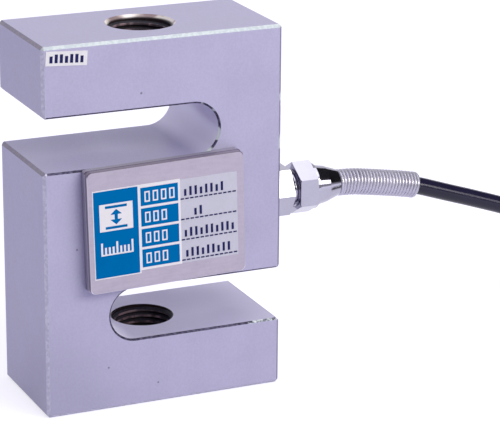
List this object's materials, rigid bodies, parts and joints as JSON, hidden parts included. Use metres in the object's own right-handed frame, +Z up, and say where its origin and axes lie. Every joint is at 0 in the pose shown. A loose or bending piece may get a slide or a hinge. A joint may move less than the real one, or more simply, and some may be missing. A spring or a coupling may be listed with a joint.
{
  "type": "s type load cell",
  "caption": "Steel S-beam load cell with a threaded hole at each end, a nameplate cover and a glanded cable with a spring strain relief.",
  "frame": {"origin": "where the load axis leaves the bottom face, in the middle of the lower thread's mouth", "axes": "+Z up along the load axis, +X from the load axis towards the cable gland, -Y out of the nameplate's face"},
  "size_m": [0.1862, 0.0588, 0.0762],
  "materials": {
    "plated_steel": "satin nickel-like plating, faintly mottled",
    "cover_metal": "satin",
    "gasket_rubber": "matte",
    "adhesive": "translucent film",
    "plate_metal": "satin, bevelled edge",
    "white_ink": "printed, slightly glossy",
    "blue_ink": "printed, slightly glossy",
    "pale_ink": "printed, satin",
    "dark_ink": "printed, slightly glossy",
    "label_paper": "matte",
    "gauge_foil": "amber carrier film",
    "board": "satin lacquer",
    "solder": "bright",
    "enamelled_wire": "glossy",
    "silicone": "soft, translucent white",
    "gland_metal": "polished plating",
    "seal_rubber": "matte",
    "spring_steel": "bright wire",
    "jacket": "glossy black",
    "tie_plastic": "satin black",
    "sleeve_plastic": "satin black",
    "red_insulation": "glossy",
    "green_insulation": "glossy",
    "white_insulation": "glossy",
    "black_insulation": "glossy",
    "tinned_copper": "bright strands"
  },
  "bodies": {
    "root": {"load_cell_body": "plated_steel", "front_gasket": "gasket_rubber", "front_cover": "cover_metal", "nameplate_film": "adhesive", "nameplate": "plate_metal", "white_print": "white_ink", "blue_print": "blue_ink", "value_print": "pale_ink", "white_marks": "white_ink", "dark_marks": "dark_ink", "dashed_lines": "dark_ink", "back_gasket": "gasket_rubber", "back_cover": "cover_metal", "paper_label": "label_paper", "label_marks": "dark_ink", "strain_gauge_front_near": "gauge_foil", "strain_gauge_front_far": "gauge_foil", "strain_gauge_back_near": "gauge_foil", "strain_gauge_back_far": "gauge_foil", "bridge_board": "board", "solder_joints": "solder", "gauge_wires": "enamelled_wire", "red_core": "red_insulation", "green_core": "green_insulation", "white_core": "white_insulation", "black_core": "black_insulation", "drain_wire": "tinned_copper", "front_potting": "silicone", "back_potting": "silicone", "gland_washer": "seal_rubber", "gland_body": "gland_metal", "gland_seal": "seal_rubber", "clamp_ring": "gland_metal", "gland_nut": "gland_metal", "strain_relief_spring": "spring_steel", "cable_jacket": "jacket", "cable_coil": "jacket", "cable_tail": "jacket", "coil_ties": "tie_plastic", "end_sleeve": "sleeve_plastic", "red_lead": "red_insulation", "green_lead": "green_insulation", "white_lead": "white_insulation", "black_lead": "black_insulation", "shield_drain": "tinned_copper", "bared_tips": "tinned_copper"}
  },
  "joints": []
}
